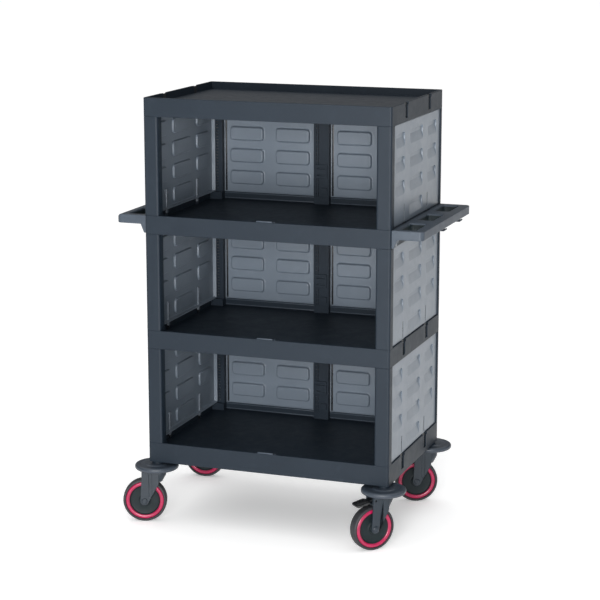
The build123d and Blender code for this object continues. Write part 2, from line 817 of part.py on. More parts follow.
def make_hub(caster):
    section = wheel_section(caster)
    spin = Axis(section.origin, section.y_dir)
    web_radius = ring_inner - ring_shelf
    boss = fork_gap / 2 - hub_side_gap
    bore = axle_radius + running_clearance
    with BuildPart() as hub:
        with BuildSketch(section):
            with BuildLine():
                Polyline(
                    (bore, -boss),
                    (hub_boss_radius, -boss),
                    (hub_boss_radius, -hub_web_width / 2),
                    (web_radius, -hub_web_width / 2),
                    (web_radius, -hub_rim_width / 2),
                    (hub_rim_radius, -hub_rim_width / 2),
                    (hub_rim_radius, hub_rim_width / 2),
                    (web_radius, hub_rim_width / 2),
                    (web_radius, hub_web_width / 2),
                    (hub_boss_radius, hub_web_width / 2),
                    (hub_boss_radius, boss),
                    (bore, boss),
                    close=True,
                )
            make_face()
        revolve(axis=spin)
    save(hub, f"wheel_hub_{caster}")


def make_tyre(caster):
    section = wheel_section(caster)
    with BuildPart() as tyre:
        with BuildSketch(section) as tread:
            with Locations((wheel_diameter / 2 - tyre_depth / 2, 0)):
                Rectangle(tyre_depth, wheel_width)
            fillet(tread.vertices().group_by(Axis.X)[-1], tyre_round)
        revolve(axis=Axis(section.origin, section.y_dir))
    save(tyre, f"tyre_{caster}")


def make_rings(caster):
    section = wheel_section(caster)
    ring_middle = (ring_outer + ring_inner) / 2
    ring_offset = (hub_rim_width + ring_thickness) / 2
    with BuildPart() as rings:
        with BuildSketch(section):
            with Locations((ring_middle, -ring_offset), (ring_middle, ring_offset)):
                Rectangle(ring_width, ring_thickness)
        revolve(axis=Axis(section.origin, section.y_dir))
    save(rings, f"wheel_rings_{caster}")


def make_pedal(caster):
    upright = caster_side(caster)
    pivot_x, pivot_z = pedal_pivot
    back = upright.x_dir * -cos(radians(pedal_tilt)) + Vector(0, 0, -sin(radians(pedal_tilt)))
    pivot = upright.from_local_coords((pivot_x, pivot_z, 0))
    plate_middle = pivot + back * (pedal_plate_start + pedal_plate_length / 2)
    shoe_drop = pivot_z - wheel_diameter - pedal_shoe_gap
    with BuildPart() as pedal:
        with BuildSketch(upright):
            with Locations(pedal_pivot):
                Circle(pedal_barrel_radius)
        extrude(amount=pedal_barrel_width / 2, both=True)
        with BuildSketch(upright):
            with Locations(pedal_pivot):
                Circle(pedal_trunnion_radius)
        extrude(amount=pedal_barrel_width / 2 + pedal_trunnion_length, both=True)
        # Arm back to the tread plate
        arm_side = Plane(pivot, x_dir=back, z_dir=upright.z_dir)
        with BuildSketch(arm_side):
            Rectangle(
                pedal_plate_start + pedal_plate_round, pedal_thickness, align=(Align.MIN, Align.CENTER)
            )
        extrude(amount=pedal_arm_width / 2, both=True)
        with BuildSketch(Plane(plate_middle, x_dir=back, z_dir=arm_side.y_dir)):
            RectangleRounded(pedal_plate_length, pedal_plate_width, pedal_plate_round)
        extrude(amount=pedal_thickness / 2, both=True)
        # Shoe that reaches down to the tyre
        with BuildSketch(upright):
            with Locations((pivot_x - pedal_shoe_back, pivot_z)):
                Rectangle(pedal_shoe_length, shoe_drop, align=(Align.CENTER, Align.MAX))
        extrude(amount=pedal_shoe_width / 2, both=True)
    save(pedal, f"brake_pedal_{caster}")


for caster in casters:
    make_fork(caster)
    make_axle(caster)
    make_hub(caster)
    make_tyre(caster)
    make_rings(caster)
    if caster in braked_casters:
        make_pedal(caster)
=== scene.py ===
import json
import math

import bmesh
import bpy
from mathutils import Matrix, Vector
from mathutils.geometry import delaunay_2d_cdt


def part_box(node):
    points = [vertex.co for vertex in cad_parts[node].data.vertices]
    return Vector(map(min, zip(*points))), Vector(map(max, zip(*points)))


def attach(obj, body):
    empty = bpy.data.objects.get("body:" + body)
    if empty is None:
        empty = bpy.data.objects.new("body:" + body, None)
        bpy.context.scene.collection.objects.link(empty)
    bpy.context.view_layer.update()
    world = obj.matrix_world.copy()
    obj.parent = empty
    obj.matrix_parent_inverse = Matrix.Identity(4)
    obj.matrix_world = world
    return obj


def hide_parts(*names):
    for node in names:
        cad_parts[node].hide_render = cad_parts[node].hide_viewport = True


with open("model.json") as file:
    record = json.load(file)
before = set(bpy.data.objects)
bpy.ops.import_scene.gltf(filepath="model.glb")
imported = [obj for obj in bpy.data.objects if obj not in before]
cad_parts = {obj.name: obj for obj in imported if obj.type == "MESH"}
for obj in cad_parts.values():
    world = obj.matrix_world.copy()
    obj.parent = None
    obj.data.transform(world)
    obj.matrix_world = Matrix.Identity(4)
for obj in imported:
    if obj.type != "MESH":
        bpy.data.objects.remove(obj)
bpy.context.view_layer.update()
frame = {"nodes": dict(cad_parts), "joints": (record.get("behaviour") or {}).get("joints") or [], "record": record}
mm = 0.001
tierNames = ("lower", "middle", "upper")
sideNames = {"left": -1, "right": 1}
casterNames = ("front_left", "front_right", "rear_left", "rear_right")
brakedCasters = ("front_right", "rear_left")
slotOfNode = {part["node"]: part["material_slot"] for part in frame["record"]["subparts"]}
joints = {joint["name"]: joint for joint in frame["joints"]}
print("frame loaded:", len(frame["nodes"]), "nodes")


# Small helpers

def linearColour(hexValue):
    levels = [int(hexValue[place:place + 2], 16) / 255 for place in (1, 3, 5)]
    return [level / 12.92 if level <= 0.04045 else ((level + 0.055) / 1.055) ** 2.4 for level in levels] + [1.0]


def perMetre(sizeMm):
    return 1000 / sizeMm  # texture scale that gives a pattern of this size


def addNode(tree, kind, settings=None, links=None):
    node = tree.nodes.new(kind)
    for name, value in (settings or {}).items():
        if isinstance(name, str) and name[0].islower():
            setattr(node, name, value)
        else:
            node.inputs[name].default_value = value
    for name, source in (links or {}).items():
        tree.links.new(source, node.inputs[name])
    return node


def addPiece(name, mesh, material, body, slotName, *nodes):
    mesh.materials.clear()
    mesh.materials.append(material)
    piece = bpy.data.objects.new(name, mesh)
    bpy.context.scene.collection.objects.link(piece)
    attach(piece, body)
    if nodes:
        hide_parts(*nodes)


def plainMesh(bm, name):
    mesh = bpy.data.meshes.new(name)
    bm.to_mesh(mesh)
    bm.free()
    return mesh


def meshFrom(bm, name, sharpAngle=35):
    mesh = plainMesh(bm, name)
    mesh.shade_smooth()
    mesh.set_sharp_from_angle(angle=math.radians(sharpAngle))
    return mesh


def settled(holder):
    mesh = bpy.data.meshes.new_from_object(holder.evaluated_get(bpy.context.evaluated_depsgraph_get()))
    bpy.data.objects.remove(holder)  # its modifier goes with it
    return mesh


def softened(nodeName, width, segments, angle=32):
    bm = bmesh.new()  # a merged copy of the solid with its sharp edges rounded off
    bm.from_mesh(frame["nodes"][nodeName].data)
    bmesh.ops.remove_doubles(bm, verts=bm.verts, dist=0.005 * mm)
    bmesh.ops.dissolve_limit(bm, angle_limit=math.radians(0.6), verts=bm.verts, edges=bm.edges)
    holder = bpy.data.objects.new(nodeName + "_rough", meshFrom(bm, nodeName + "_rough"))
    bpy.context.scene.collection.objects.link(holder)
    rounding = holder.modifiers.new("rounding", "BEVEL")
    rounding.width = width * mm
    rounding.segments = segments
    rounding.limit_method = "ANGLE"
    rounding.angle_limit = math.radians(angle)
    rounding.use_clamp_overlap = False
    rounding.harden_normals = True
    return settled(holder)


def loft(bm, rings, closed=False):
    rows = [[bm.verts.new(point) for point in ring] for ring in rings]
    pairs = list(zip(rows, rows[1:])) + ([(rows[-1], rows[0])] if closed else [])
    for low, high in pairs:
        for here in range(len(low)):
            there = (here + 1) % len(low)
            bm.faces.new((low[here], low[there], high[there], high[here]))
    return rows


def turned(name, profile, matrix, steps, closed=True):
    bm = bmesh.new()  # profile in mm as (radius, along) pairs, turned about the matrix's Y axis
    rings = []
    for radius, along in profile:
        turns = [2 * math.pi * step / steps for step in range(steps)]
        rings.append([matrix @ Vector((radius * math.sin(turn) * mm, along * mm, radius * math.cos(turn) * mm))
                      for turn in turns])
    loft(bm, rings, closed)
    bmesh.ops.remove_doubles(bm, verts=bm.verts, dist=0.001 * mm)
    bmesh.ops.recalc_face_normals(bm, faces=bm.faces)
    return meshFrom(bm, name)


def roundedLoop(width, height, radius, steps=4):
    points = []
    for across, up, start in ((1, -1, -90), (1, 1, 0), (-1, 1, 90), (-1, -1, 180)):
        for step in range(steps + 1):
            turn = math.radians(start + 90 * step / steps)
            points.append((across * (width / 2 - radius) + radius * math.cos(turn),
                           up * (height / 2 - radius) + radius * math.sin(turn)))
    return points


def roundedBar(low, high, radius):
    bm = bmesh.new()  # bar along X between two corners in mm, its long edges and ends rounded
    middle, size = (low + high) / 2, high - low
    rings = []
    for place, inset in ((low.x, radius), (low.x + radius * 0.3, radius * 0.3), (low.x + radius, 0),
                         (high.x - radius, 0), (high.x - radius * 0.3, radius * 0.3), (high.x, radius)):
        loop = roundedLoop(size.y - 2 * inset, size.z - 2 * inset, max(radius - inset, 0.05))
        rings.append([Vector((place, middle.y + across, middle.z + up)) * mm for across, up in loop])
    rows = loft(bm, rings)
    bm.faces.new(rows[0])
    bm.faces.new(rows[-1])
    bmesh.ops.recalc_face_normals(bm, faces=bm.faces)
    return meshFrom(bm, "bar", 60)


def flatFaced(bm, name, axis):
    bmesh.ops.recalc_face_normals(bm, faces=bm.faces)  # flats square to this axis end sharply, so that they stay flat
    square, sharpAngle = 0.9999, math.radians(50)
    for edge in bm.edges:
        kinds = {abs(face.normal[axis]) > square for face in edge.link_faces}
        edge.smooth = len(kinds) == 1 and edge.calc_face_angle(0.0) < sharpAngle
    for face in bm.faces:
        face.smooth = True
    return plainMesh(bm, name)


def joined(name, meshes):
    bm = bmesh.new()
    for mesh in meshes:
        bm.from_mesh(mesh)
    return plainMesh(bm, name)


def newTree(name, sockets):
    tree = bpy.data.node_groups.new(name, "GeometryNodeTree")
    tree.interface.new_socket("Geometry", in_out="INPUT", socket_type="NodeSocketGeometry")
    for label, kind in sockets.items():
        tree.interface.new_socket(label, in_out="INPUT", socket_type=kind)
    tree.interface.new_socket("Geometry", in_out="OUTPUT", socket_type="NodeSocketGeometry")
    return tree, addNode(tree, "NodeGroupInput").outputs


def grown(name, tree, points, values):
    seed = bpy.data.meshes.new(name)
    seed.from_pydata([Vector(point) * mm for point in points], [], [])
    holder = bpy.data.objects.new(name, seed)
    bpy.context.scene.collection.objects.link(holder)
    shape = holder.modifiers.new("shape", "NODES")
    shape.node_group = tree
    for item in tree.interface.items_tree:
        if item.in_out == "INPUT" and item.name in values:
            shape[item.identifier] = values[item.name]
    return settled(holder)


# Materials

def mouldedPlastic(look):
    look = {"coat": 0.0, "coatRough": 0.2} | look  # most have no clear skin
    material = bpy.data.materials.new(look["name"])
    material.use_nodes = True
    tree = material.node_tree
    shader = tree.nodes["Principled BSDF"]
    shader.inputs["IOR"].default_value = look["ior"]
    shader.inputs["Specular IOR Level"].default_value = look["shine"]
    shader.inputs["Coat Weight"].default_value = look["coat"]
    shader.inputs["Coat Roughness"].default_value = look["coatRough"]
    place = addNode(tree, "ShaderNodeTexCoord").outputs["Object"]
    cloud = addNode(tree, "ShaderNodeTexNoise", {"Scale": perMetre(look["cloudMm"]), "Detail": 3.0, "Roughness": 0.55},
                    {"Vector": place})
    scuff = addNode(tree, "ShaderNodeTexNoise", {"Scale": perMetre(look["scuffMm"]), "Detail": 6.0, "Roughness": 0.7,
                                                 "Distortion": 0.8}, {"Vector": place})
    grain = addNode(tree, "ShaderNodeTexNoise", {"Scale": perMetre(look["grainMm"]), "Detail": 2.0}, {"Vector": place})
    worn = addNode(tree, "ShaderNodeMapRange", {"From Min": 0.56, "From Max": 0.78}, {"Value": scuff.outputs["Fac"]})
    flow = addNode(tree, "ShaderNodeMapRange", {"From Min": 0.3, "From Max": 0.7}, {"Value": cloud.outputs["Fac"]})
    body = addNode(tree, "ShaderNodeMix", {"data_type": "RGBA", 6: linearColour(look["colour"]),
                                           7: linearColour(look["deep"])}, {0: flow.outputs[0]})
    share = addNode(tree, "ShaderNodeMath", {"operation": "MULTIPLY", 1: look["wear"]}, {0: worn.outputs[0]})
    skin = addNode(tree, "ShaderNodeMix", {"data_type": "RGBA", 7: linearColour(look["chalk"])},
                   {0: share.outputs[0], 6: body.outputs[2]})
    sheen = addNode(tree, "ShaderNodeMapRange", {"From Min": 0.3, "From Max": 0.72, "To Min": look["gloss"][0],
                                                 "To Max": look["gloss"][1]}, {"Value": scuff.outputs["Fac"]})
    edges = addNode(tree, "ShaderNodeBevel", {"samples": 4, "Radius": look["edgeMm"] * mm})
    relief = addNode(tree, "ShaderNodeBump", {"Strength": look["relief"], "Distance": look["grainDepthMm"] * mm},
                     {"Height": grain.outputs["Fac"], "Normal": edges.outputs[0]})
    tree.links.new(skin.outputs[2], shader.inputs["Base Color"])
    tree.links.new(sheen.outputs[0], shader.inputs["Roughness"])
    tree.links.new(relief.outputs[0], shader.inputs["Normal"])
    return material


# Injection-moulded polypropylene off a spark-eroded tool: dark slate, a fine satin grain, faint chalky scuffs
slatePlastic = mouldedPlastic({
    "name": "polypropylene_moulded_slate", "colour": "#1a242e", "deep": "#17212b", "chalk": "#2d3843", "wear": 0.3,
    "gloss": (0.44, 0.56), "shine": 0.25, "ior": 1.49, "cloudMm": 140, "scuffMm": 35,
    "grainMm": 2.2, "grainDepthMm": 0.12, "relief": 0.25, "edgeMm": 1.2})  # grain drawn coarse to show

# The same polypropylene in mid grey: smoother tool, so soft bright streaks along every pressed edge
greyPanel = mouldedPlastic({
    "name": "polypropylene_moulded_grey", "colour": "#68727d", "deep": "#626c77", "chalk": "#79838e", "wear": 0.2,
    "gloss": (0.3, 0.42), "shine": 0.45, "ior": 1.49, "coat": 0.12, "cloudMm": 160, "scuffMm": 45,
    "grainMm": 2.6, "grainDepthMm": 0.1, "relief": 0.2, "edgeMm": 0.8})  # grain drawn coarse to show

# Glass-filled nylon, moulded: dark slate with a slightly rough, dry face
forkNylon = mouldedPlastic({
    "name": "nylon_glass_filled_moulded", "colour": "#222c35", "deep": "#1e2730", "chalk": "#3d4852", "wear": 0.3,
    "gloss": (0.36, 0.5), "shine": 0.4, "ior": 1.53, "cloudMm": 40, "scuffMm": 12,
    "grainMm": 1.2, "grainDepthMm": 0.08, "relief": 0.35, "edgeMm": 1.0})

# Slate polypropylene drawn lighter than the decks: a lit copy of the slate, painted light for the light the grips catch
litSlatePlastic = mouldedPlastic({
    "name": "polypropylene_slate_lit_copy", "colour": "#404953", "deep": "#3a424c", "chalk": "#59616b", "wear": 0.3,
    "gloss": (0.4, 0.52), "shine": 0.3, "ior": 1.49, "cloudMm": 120, "scuffMm": 30,
    "grainMm": 2.2, "grainDepthMm": 0.1, "relief": 0.25, "edgeMm": 1.2})  # grain drawn coarse to show

# The hubs' polypropylene, moulded: near-black with a green cast and hardly any shine
hubPlastic = mouldedPlastic({
    "name": "polypropylene_moulded_hub", "colour": "#1b2427", "deep": "#171f22", "chalk": "#333d41", "wear": 0.3,
    "gloss": (0.42, 0.55), "shine": 0.2, "ior": 1.49, "cloudMm": 40, "scuffMm": 12,
    "grainMm": 1.2, "grainDepthMm": 0.08, "relief": 0.3, "edgeMm": 0.8})

# Soft polyvinyl chloride, moulded: drawn a shade paler than the decks as painted light for the bumpers' lit tops, and a
# little slick
litBumperVinyl = mouldedPlastic({
    "name": "vinyl_slate_lit_copy", "colour": "#333b45", "deep": "#2e3640", "chalk": "#4a525c", "wear": 0.35,
    "gloss": (0.36, 0.5), "shine": 0.45, "ior": 1.53, "cloudMm": 60, "scuffMm": 14,
    "grainMm": 1.6, "grainDepthMm": 0.08, "relief": 0.25, "edgeMm": 1.0})

# Nylon, moulded black and rubbed by shoes: glossy, so the pedals show small sharp lights
pedalNylon = mouldedPlastic({
    "name": "nylon_moulded_black", "colour": "#131518", "deep": "#0f1113", "chalk": "#33373c", "wear": 0.35,
    "gloss": (0.22, 0.4), "shine": 0.5, "ior": 1.53, "coat": 0.1, "cloudMm": 30, "scuffMm": 9,
    "grainMm": 1.2, "grainDepthMm": 0.06, "relief": 0.3, "edgeMm": 0.8})

# Acetal, moulded: slippery satin clips with a clear highlight
clipAcetal = mouldedPlastic({
    "name": "acetal_moulded_grey", "colour": "#727a84", "deep": "#687079", "chalk": "#8a929b", "wear": 0.2,
    "gloss": (0.22, 0.3), "shine": 0.5, "ior": 1.48, "coat": 0.2, "cloudMm": 30, "scuffMm": 10,
    "grainMm": 1.0, "grainDepthMm": 0.04, "relief": 0.2, "edgeMm": 0.8})

# Thermoplastic rubber, moulded: dull dark tread with dust in its grain
tyreRubber = mouldedPlastic({
    "name": "rubber_moulded_tread", "colour": "#2b2c30", "deep": "#232427", "chalk": "#5b5a5a", "wear": 0.4,
    "gloss": (0.5, 0.68), "shine": 0.4, "ior": 1.52, "cloudMm": 30, "scuffMm": 9,
    "grainMm": 0.9, "grainDepthMm": 0.08, "relief": 0.4, "edgeMm": 0.6})

# Polyurethane, cast and clear-skinned: saturated crimson with a broad milky highlight where it faces a light
crimsonRing = mouldedPlastic({
    "name": "polyurethane_cast_crimson", "colour": "#a60545", "deep": "#96043c", "chalk": "#b52a5c", "wear": 0.15,
    "gloss": (0.27, 0.35), "shine": 0.6, "ior": 1.5, "coat": 0.15, "coatRough": 0.25, "cloudMm": 25, "scuffMm": 8,
    "grainMm": 1.0, "grainDepthMm": 0.03, "relief": 0.2, "edgeMm": 0.5})


def platedSteel(look):
    material = bpy.data.materials.new(look["name"])
    material.use_nodes = True
    tree = material.node_tree
    shader = tree.nodes["Principled BSDF"]
    shader.inputs["Metallic"].default_value = 1.0
    place = addNode(tree, "ShaderNodeTexCoord").outputs["Object"]
    patch = addNode(tree, "ShaderNodeTexVoronoi", {"Scale": perMetre(look["spangleMm"])}, {"Vector": place})
    haze = addNode(tree, "ShaderNodeTexNoise", {"Scale": perMetre(look["hazeMm"]), "Detail": 4.0}, {"Vector": place})
    tone = addNode(tree, "ShaderNodeMix", {"data_type": "RGBA", 6: linearColour(look["colour"]),
                                           7: linearColour(look["deep"])}, {0: patch.outputs["Distance"]})
    sheen = addNode(tree, "ShaderNodeMapRange", {"To Min": look["gloss"][0], "To Max": look["gloss"][1]},
                    {"Value": haze.outputs["Fac"]})
    tree.links.new(tone.outputs[2], shader.inputs["Base Color"])
    tree.links.new(sheen.outputs[0], shader.inputs["Roughness"])
    return material


# Zinc-plated steel, passivated: cool grey metal with a faint mottled haze
zincSteel = platedSteel({"name": "steel_zinc_plated", "colour": "#8b8f95", "deep": "#767a80", "spangleMm": 2.5,
                         "hazeMm": 4, "gloss": (0.24, 0.42)})

slotMaterials = {"deck": slatePlastic, "post": slatePlastic, "panel": greyPanel, "clip": clipAcetal,
                 "handle": litSlatePlastic, "bumper": litBumperVinyl, "fork": forkNylon, "pedal": pedalNylon,
                 "hub": hubPlastic, "tyre": tyreRubber, "ring": crimsonRing, "steel": zincSteel}
for nodeName, node in frame["nodes"].items():
    node.data.materials.clear()
    node.data.materials.append(slotMaterials[slotOfNode[nodeName]])
print("materials ready:", len(set(slotMaterials.values())))


# Panels: rows of pressed pads, grown along each column

padTree, given = newTree("padColumn", {
    "Pad width": "NodeSocketFloat", "Pad height": "NodeSocketFloat", "Corner radius": "NodeSocketFloat",
    "Wall run": "NodeSocketFloat", "Rise": "NodeSocketFloat", "Rows": "NodeSocketInt", "Row pitch": "NodeSocketFloat",
    "Material": "NodeSocketMaterial"})
outline = addNode(padTree, "GeometryNodeCurvePrimitiveQuadrilateral", {},
                  {"Width": given["Pad width"], "Height": given["Pad height"]})
outline = addNode(padTree, "GeometryNodeFilletCurve", {"mode": "POLY", "Count": 6},
                  {"Curve": outline.outputs[0], "Radius": given["Corner radius"]})
outline = addNode(padTree, "GeometryNodeSetCurveNormal", {"mode": "Z_UP"}, {"Curve": outline.outputs[0]})
wallEase = 0.8  # share of the run over which the wall curves out of level at its foot, and into it at its top
nearRun, farRun, fullRun = (addNode(padTree, "ShaderNodeMath", {"operation": "MULTIPLY", 1: -share},
                                    {0: given["Wall run"]}).outputs[0] for share in (wallEase, 1 - wallEase, 1.0))
fullRise = addNode(padTree, "ShaderNodeMath", {"operation": "MULTIPLY", 1: -1.0}, {0: given["Rise"]}).outputs[0]
nearHandle = addNode(padTree, "ShaderNodeCombineXYZ", {}, {"X": nearRun})  # swept, -X is inwards and -Y is up
farHandle = addNode(padTree, "ShaderNodeCombineXYZ", {}, {"X": farRun, "Y": fullRise})
topEdge = addNode(padTree, "ShaderNodeCombineXYZ", {}, {"X": fullRun, "Y": fullRise})
slope = addNode(padTree, "GeometryNodeCurvePrimitiveBezierSegment", {"Resolution": 8, "Start": (0, 0, 0)},
                {"Start Handle": nearHandle.outputs[0], "End Handle": farHandle.outputs[0], "End": topEdge.outputs[0]})
wall = addNode(padTree, "GeometryNodeCurveToMesh", {}, {"Curve": outline.outputs[0], "Profile Curve": slope.outputs[0]})
climb = addNode(padTree, "ShaderNodeCombineXYZ", {}, {"Y": given["Row pitch"]})
ladder = addNode(padTree, "GeometryNodeMeshLine", {}, {"Count": given["Rows"], "Offset": climb.outputs[0]})
column = addNode(padTree, "GeometryNodeInstanceOnPoints", {},
                 {"Points": ladder.outputs[0], "Instance": wall.outputs[0]})
columns = addNode(padTree, "GeometryNodeInstanceOnPoints", {},
                  {"Points": given["Geometry"], "Instance": column.outputs[0]})
solid = addNode(padTree, "GeometryNodeRealizeInstances", {}, {"Geometry": columns.outputs[0]})
solid = addNode(padTree, "GeometryNodeSetMaterial", {}, {"Geometry": solid.outputs[0], "Material": given["Material"]})
addNode(padTree, "NodeGroupOutput", {}, {0: solid.outputs[0]})

panelLook = {"sheet": 2.5, "padRound": 12.0, "rows": 4, "rowGap": 20.5, "rimRound": 1.6, "slitRound": 1.2}
sidePanelLook = {"foot": 10.0, "head": 23.0, "middle": 128.0, "gap": 43.0, "margin": 13.5, "slits": (-110.0, 110.0),
                 "slitWidth": 7.0, "slitHeight": 45.0, "slitFoot": 6.0, "depth": 16.0, "bend": 2.0,
                 "rise": 5.2, "run": 2.8, "recess": 4.4, "recessRun": 1.0, "ramp": 30.0}
backPanelLook = {"foot": 22.5, "head": 10.5, "gap": 35.0, "margin": 17.0, "depth": 5.0, "bend": 0.8,
                 "rise": 8.5, "run": 6.0, "recess": 5.0, "recessRun": 2.0, "ramp": 0.0,
                 "highlightBarWidth": 3.0, "highlightBarRise": 7.0, "shadeBarWidth": 4.4, "shadeBarRise": 3.2, "barRound": 0.4, "barGap": 0.2,
                 "barSink": 0.5}


def flangeSteps(depth, bend):
    # From the pressed sheet round the flange and back: inset from the panel's edge, and depth
    outside = ((3.2, 0), (2.2, 0), (1.1, 0.3), (0.3, 1.1), (0, 2.2), (0, depth - 1.1), (0.3, depth - 0.4),
               (1.25, depth), (2.2, depth - 0.4), (2.5, depth - 1.1))
    turns = [math.radians(90 * step / 5) for step in range(6)]
    reach = panelLook["sheet"] + bend
    inside = tuple((reach - bend * math.cos(turn), reach - bend * math.sin(turn)) for turn in turns)
    return outside + inside + ((reach + 1.0, panelLook["sheet"]),)


def webbed(bm, rimVert):
    # Fills the flat between the outer loop, known by one of its points, and every other open loop
    openEdges = [edge for edge in bm.edges if len(edge.link_faces) < 2]
    verts = list(dict.fromkeys(vert for edge in openEdges for vert in edge.verts))
    loopOf = {}
    for start in verts:
        walk = [] if start in loopOf else [start]
        while walk:
            vert = walk.pop()
            loopOf[vert] = loopOf.get(start, start)
            walk += [edge.other_vert(vert) for edge in vert.link_edges
                     if len(edge.link_faces) < 2 and edge.other_vert(vert) not in loopOf]
    order = {vert: number for number, vert in enumerate(verts)}
    pairs = [tuple(order[vert] for vert in edge.verts) for edge in openEdges]
    insideOnly, tolerance = 1, 0.0001
    faces, sources = delaunay_2d_cdt([vert.co.xy / mm for vert in verts], pairs, [], insideOnly, tolerance)[2:4]
    for face in faces:
        corners = [verts[sources[corner][0]] for corner in face]
        loops = {loopOf[vert] for vert in corners}
        if len(loops) > 1 or loopOf[rimVert] in loops:  # a triangle within one inner loop lies in its hole
            bm.faces.new(corners)


def pressedSkin(columns, border, slits, level, inset, rise, run, ramp):
    bm = bmesh.new()  # one face of the sheet, its pads rising to +Z
    for points, rows, padWidth, padHeight in columns:
        pitch = padHeight + panelLook["rowGap"]
        pads = grown("pads", padTree, points, {
            "Pad width": (padWidth - 2 * inset) * mm, "Pad height": (padHeight - 2 * inset) * mm,
            "Corner radius": (panelLook["padRound"] - inset) * mm, "Wall run": run * mm,
            "Rise": rise * mm, "Rows": rows, "Row pitch": pitch * mm, "Material": greyPanel})
        for vert in pads.vertices:  # the lower wall can lean back as a ramp
            fall = -((vert.co.y / mm - points[0][1] + pitch / 2) % pitch - pitch / 2) / (padHeight / 2)
            vert.co.y += max(fall, 0) * ramp * vert.co.z / rise
        bm.from_mesh(pads)
    tops = [edge for edge in bm.edges
            if edge.is_boundary and min(vert.co.z for vert in edge.verts) > rise * mm / 2]
    bmesh.ops.holes_fill(bm, edges=tops, sides=0)
    for loop in slits + [border]:
        verts = [bm.verts.new((across * mm, up * mm, 0)) for across, up in loop]
        for here, there in zip(verts, verts[1:] + verts[:1]):
            bm.edges.new((here, there))
    webbed(bm, verts[0])
    bmesh.ops.translate(bm, verts=bm.verts, vec=(0, 0, level * mm))
    return plainMesh(bm, "skin")


def pressedPanel(name, width, height, middle, columns, slits, kindLook):
    # Drawn flat: X along the panel, Y up from its foot, Z inwards from its outer face
    def ring(inset, level):
        loop = roundedLoop(width - 2 * inset, height - 2 * inset, max(panelLook["rimRound"] - inset, 0.2))
        return [Vector(((middle + across) * mm, (height / 2 + up) * mm, level * mm)) for across, up in loop]
    sheet = panelLook["sheet"]
    rings = [ring(inset, level) for inset, level in flangeSteps(kindLook["depth"], kindLook["bend"])]
    look = sidePanelLook
    slit = roundedLoop(look["slitWidth"], look["slitHeight"], panelLook["slitRound"], 3)
    slitLoops = [[(place + across, look["slitFoot"] + look["slitHeight"] / 2 + up) for across, up in slit]
                 for place in slits]
    bm = bmesh.new()
    loft(bm, rings)
    for loop in slitLoops:
        loft(bm, [[Vector((across * mm, up * mm, level * mm)) for across, up in loop] for level in (0, sheet)])
    outer = (0, sheet, rings[0], kindLook["recess"], kindLook["recessRun"], kindLook["ramp"])
    inner = (sheet, 0, rings[-1], kindLook["rise"], kindLook["run"], 0)
    for level, inset, border, rise, run, ramp in (outer, inner):
        flat = [(point.x / mm, point.y / mm) for point in border]
        bm.from_mesh(pressedSkin(columns, flat, slitLoops, level, inset, rise, run, ramp))
    bmesh.ops.remove_doubles(bm, verts=bm.verts, dist=0.02 * mm)
    bmesh.ops.recalc_face_normals(bm, faces=bm.faces)
    return meshFrom(bm, name, 50)


def padHeightOf(look, height):
    rows = panelLook["rows"]
    return (height - look["foot"] - look["head"] - (rows - 1) * panelLook["rowGap"]) / rows


low, high = (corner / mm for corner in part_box("side_panel_right_lower"))
sideWidth, panelHeight = high.y - low.y, high.z - low.z
padHeight = padHeightOf(sidePanelLook, panelHeight)
outerStart = sidePanelLook["middle"] / 2 + sidePanelLook["gap"]
outerEnd = -low.y - sidePanelLook["margin"]
outerMiddle = (outerStart + outerEnd) / 2
firstRow = sidePanelLook["foot"] + padHeight / 2
secondRow = firstRow + padHeight + panelLook["rowGap"]
sideColumns = [([(0, firstRow, 0)], panelLook["rows"], sidePanelLook["middle"], padHeight),
               ([(-outerMiddle, secondRow, 0), (outerMiddle, secondRow, 0)], panelLook["rows"] - 1,
                outerEnd - outerStart, padHeight)]
sideFlat = pressedPanel("side_panel_flat", sideWidth, panelHeight, (low.y + high.y) / 2, sideColumns,
                        sidePanelLook["slits"], sidePanelLook)

low, high = (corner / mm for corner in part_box("back_panel_right_lower"))
backWidth = high.x - low.x
backPadWidth = (backWidth - 2 * backPanelLook["margin"] - backPanelLook["gap"]) / 2
backShift = (backPadWidth + backPanelLook["gap"]) / 2
backPadHeight = padHeightOf(backPanelLook, panelHeight)
backRow = backPanelLook["foot"] + backPadHeight / 2
backColumns = [([(-backShift, backRow, 0), (backShift, backRow, 0)], panelLook["rows"], backPadWidth, backPadHeight)]
backFlat = pressedPanel("back_panel_flat", backWidth, panelHeight, 0, backColumns, (), backPanelLook)

for tier in tierNames:
    for sideName, side in sideNames.items():
        for kind, flat in (("side", sideFlat), ("back", backFlat)):
            nodeName = f"{kind}_panel_{sideName}_{tier}"
            low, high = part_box(nodeName)
            bm = bmesh.new()
            bm.from_mesh(flat)
            for vert in bm.verts:
                along, up, inward = vert.co
                if kind == "side":
                    vert.co = (high.x - inward if side > 0 else low.x + inward, along, low.z + up)
                else:
                    vert.co = ((low.x + high.x) / 2 + along, high.y - inward, low.z + up)
            skin = flatFaced(bm, nodeName, 0 if kind == "side" else 1)
            addPiece(f"pressed_{nodeName}", skin, greyPanel, "cart", "panel", nodeName)

